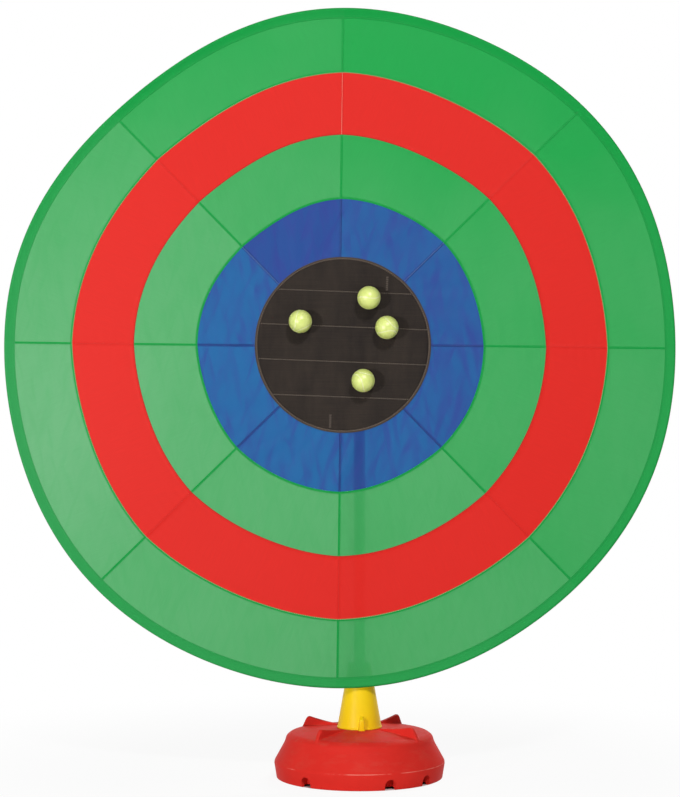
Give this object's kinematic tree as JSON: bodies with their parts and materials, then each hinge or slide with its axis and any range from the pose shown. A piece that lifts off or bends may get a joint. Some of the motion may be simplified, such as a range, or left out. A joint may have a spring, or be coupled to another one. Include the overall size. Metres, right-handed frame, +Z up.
{
  "type": "golf chipping target",
  "caption": "Round cloth target on a sprung hoop, carried by a take-apart pole in a weighted base, with a hook patch that felt practice balls stick to.",
  "frame": {"origin": "on the floor, straight below the middle of the cloth face", "axes": "+Z up, -Y out of the front of the face, +X to the right of someone who looks at the front"},
  "size_m": [1.568, 0.3978, 1.8013],
  "materials": {
    "green_nylon": "matte",
    "red_nylon": "matte",
    "blue_nylon": "matte",
    "green_hem": "matte",
    "hook_tape": "matte",
    "binding_tape": "matte",
    "black_canvas": "matte",
    "red_plastic": "satin",
    "yellow_plastic": "satin",
    "black_plastic": "satin",
    "pole_tube": "satin",
    "ferrule_brass": "satin",
    "rod_resin": "satin",
    "ballast_iron": "matte",
    "screw_steel": "satin",
    "ball_felt": "matte"
  },
  "bodies": {
    "base": {"base_shell": "red_plastic", "ballast_ring": "ballast_iron", "ballast_screw_1": "screw_steel", "ballast_screw_2": "screw_steel", "ballast_screw_3": "screw_steel"},
    "cone": {"cone_socket": "yellow_plastic"},
    "collar": {"pole_collar": "black_plastic"},
    "lower_pole": {"lower_pole": "pole_tube", "pole_foot": "black_plastic", "pole_coupler": "black_plastic"},
    "upper_pole": {"upper_pole": "pole_tube", "pole_cap": "black_plastic"},
    "target": {"outer_green_panel_1": "green_nylon", "outer_green_panel_2": "green_nylon", "outer_green_panel_3": "green_nylon", "outer_green_panel_4": "green_nylon", "outer_green_panel_5": "green_nylon", "outer_green_panel_6": "green_nylon", "outer_green_panel_7": "green_nylon", "outer_green_panel_8": "green_nylon", "red_panel_1": "red_nylon", "red_panel_2": "red_nylon", "red_panel_3": "red_nylon", "red_panel_4": "red_nylon", "red_panel_5": "red_nylon", "red_panel_6": "red_nylon", "red_panel_7": "red_nylon", "red_panel_8": "red_nylon", "inner_green_panel_1": "green_nylon", "inner_green_panel_2": "green_nylon", "inner_green_panel_3": "green_nylon", "inner_green_panel_4": "green_nylon", "inner_green_panel_5": "green_nylon", "inner_green_panel_6": "green_nylon", "inner_green_panel_7": "green_nylon", "inner_green_panel_8": "green_nylon", "blue_panel_1": "blue_nylon", "blue_panel_2": "blue_nylon", "blue_panel_3": "blue_nylon", "blue_panel_4": "blue_nylon", "blue_panel_5": "blue_nylon", "blue_panel_6": "blue_nylon", "blue_panel_7": "blue_nylon", "blue_panel_8": "blue_nylon", "hook_strip_1": "hook_tape", "hook_strip_2": "hook_tape", "hook_strip_3": "hook_tape", "hook_strip_4": "hook_tape", "hook_strip_5": "hook_tape", "hem_sleeve": "green_hem", "hoop_rod": "rod_resin", "hoop_ferrule": "ferrule_brass", "centre_backing": "black_canvas", "centre_binding": "binding_tape", "pole_pocket": "black_canvas"},
    "ball_1": {"ball_1": "ball_felt"},
    "ball_2": {"ball_2": "ball_felt"},
    "ball_3": {"ball_3": "ball_felt"},
    "ball_4": {"ball_4": "ball_felt"}
  },
  "joints": [
    {"name": "cone_lift", "type": "slide", "parent": "base", "child": "cone", "axis": [0, 0, 1], "range_m": [0, 0.09]},
    {"name": "pole_turn", "type": "hinge", "parent": "cone", "child": "collar", "pos_m": [0.045, 0, 0.25], "axis": [0, 0, 1], "continuous": true},
    {"name": "pole_lift", "type": "slide", "parent": "collar", "child": "lower_pole", "axis": [0, 0, 1], "range_m": [0, 0.235]},
    {"name": "upper_pole_lift", "type": "slide", "parent": "lower_pole", "child": "upper_pole", "axis": [0, 0, 1], "range_m": [0, 0.1]},
    {"name": "target_lift", "type": "slide", "parent": "upper_pole", "child": "target", "axis": [0, 0, 1], "range_m": [0, 0.28]},
    {"name": "ball_1_pull", "type": "slide", "parent": "target", "child": "ball_1", "axis": [0, -0.9995, 0.0301], "range_m": [0, 0.12]},
    {"name": "ball_2_pull", "type": "slide", "parent": "target", "child": "ball_2", "axis": [0, -0.9995, 0.0301], "range_m": [0, 0.12]},
    {"name": "ball_3_pull", "type": "slide", "parent": "target", "child": "ball_3", "axis": [0, -0.9995, 0.0301], "range_m": [0, 0.12]},
    {"name": "ball_4_pull", "type": "slide", "parent": "target", "child": "ball_4", "axis": [0, -0.9995, 0.0301], "range_m": [0, 0.12]}
  ]
}
